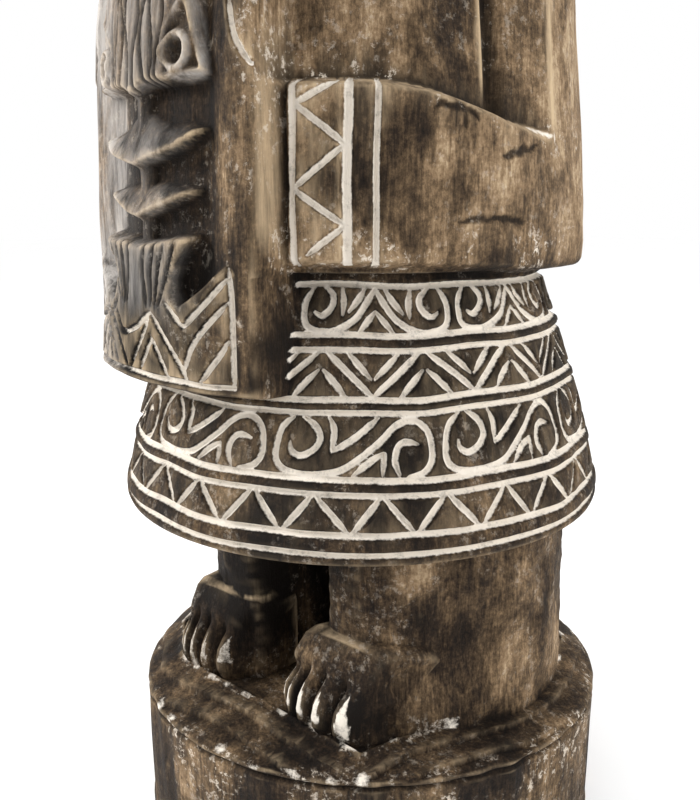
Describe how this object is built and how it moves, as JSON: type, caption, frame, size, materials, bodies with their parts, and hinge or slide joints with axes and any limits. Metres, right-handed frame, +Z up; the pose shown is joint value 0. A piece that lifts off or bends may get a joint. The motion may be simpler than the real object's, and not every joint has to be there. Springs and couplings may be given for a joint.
{
  "type": "carved wooden figure",
  "caption": "Standing figure carved from one log, with a flared skirt in carved bands, folded arms and a mask shield held in front, on a round base.",
  "frame": {"origin": "middle of the flat underside of the round base", "axes": "+Z up along the log, -Y towards the figure's front, +X towards the figure's left side"},
  "size_m": [0.397, 0.4048, 1.028],
  "materials": {
    "stained_wood": "dark brown stain worn in places, white lime rubbed into the carved lines"
  },
  "bodies": {
    "root": {"carved_figure": "stained_wood"}
  },
  "joints": []
}
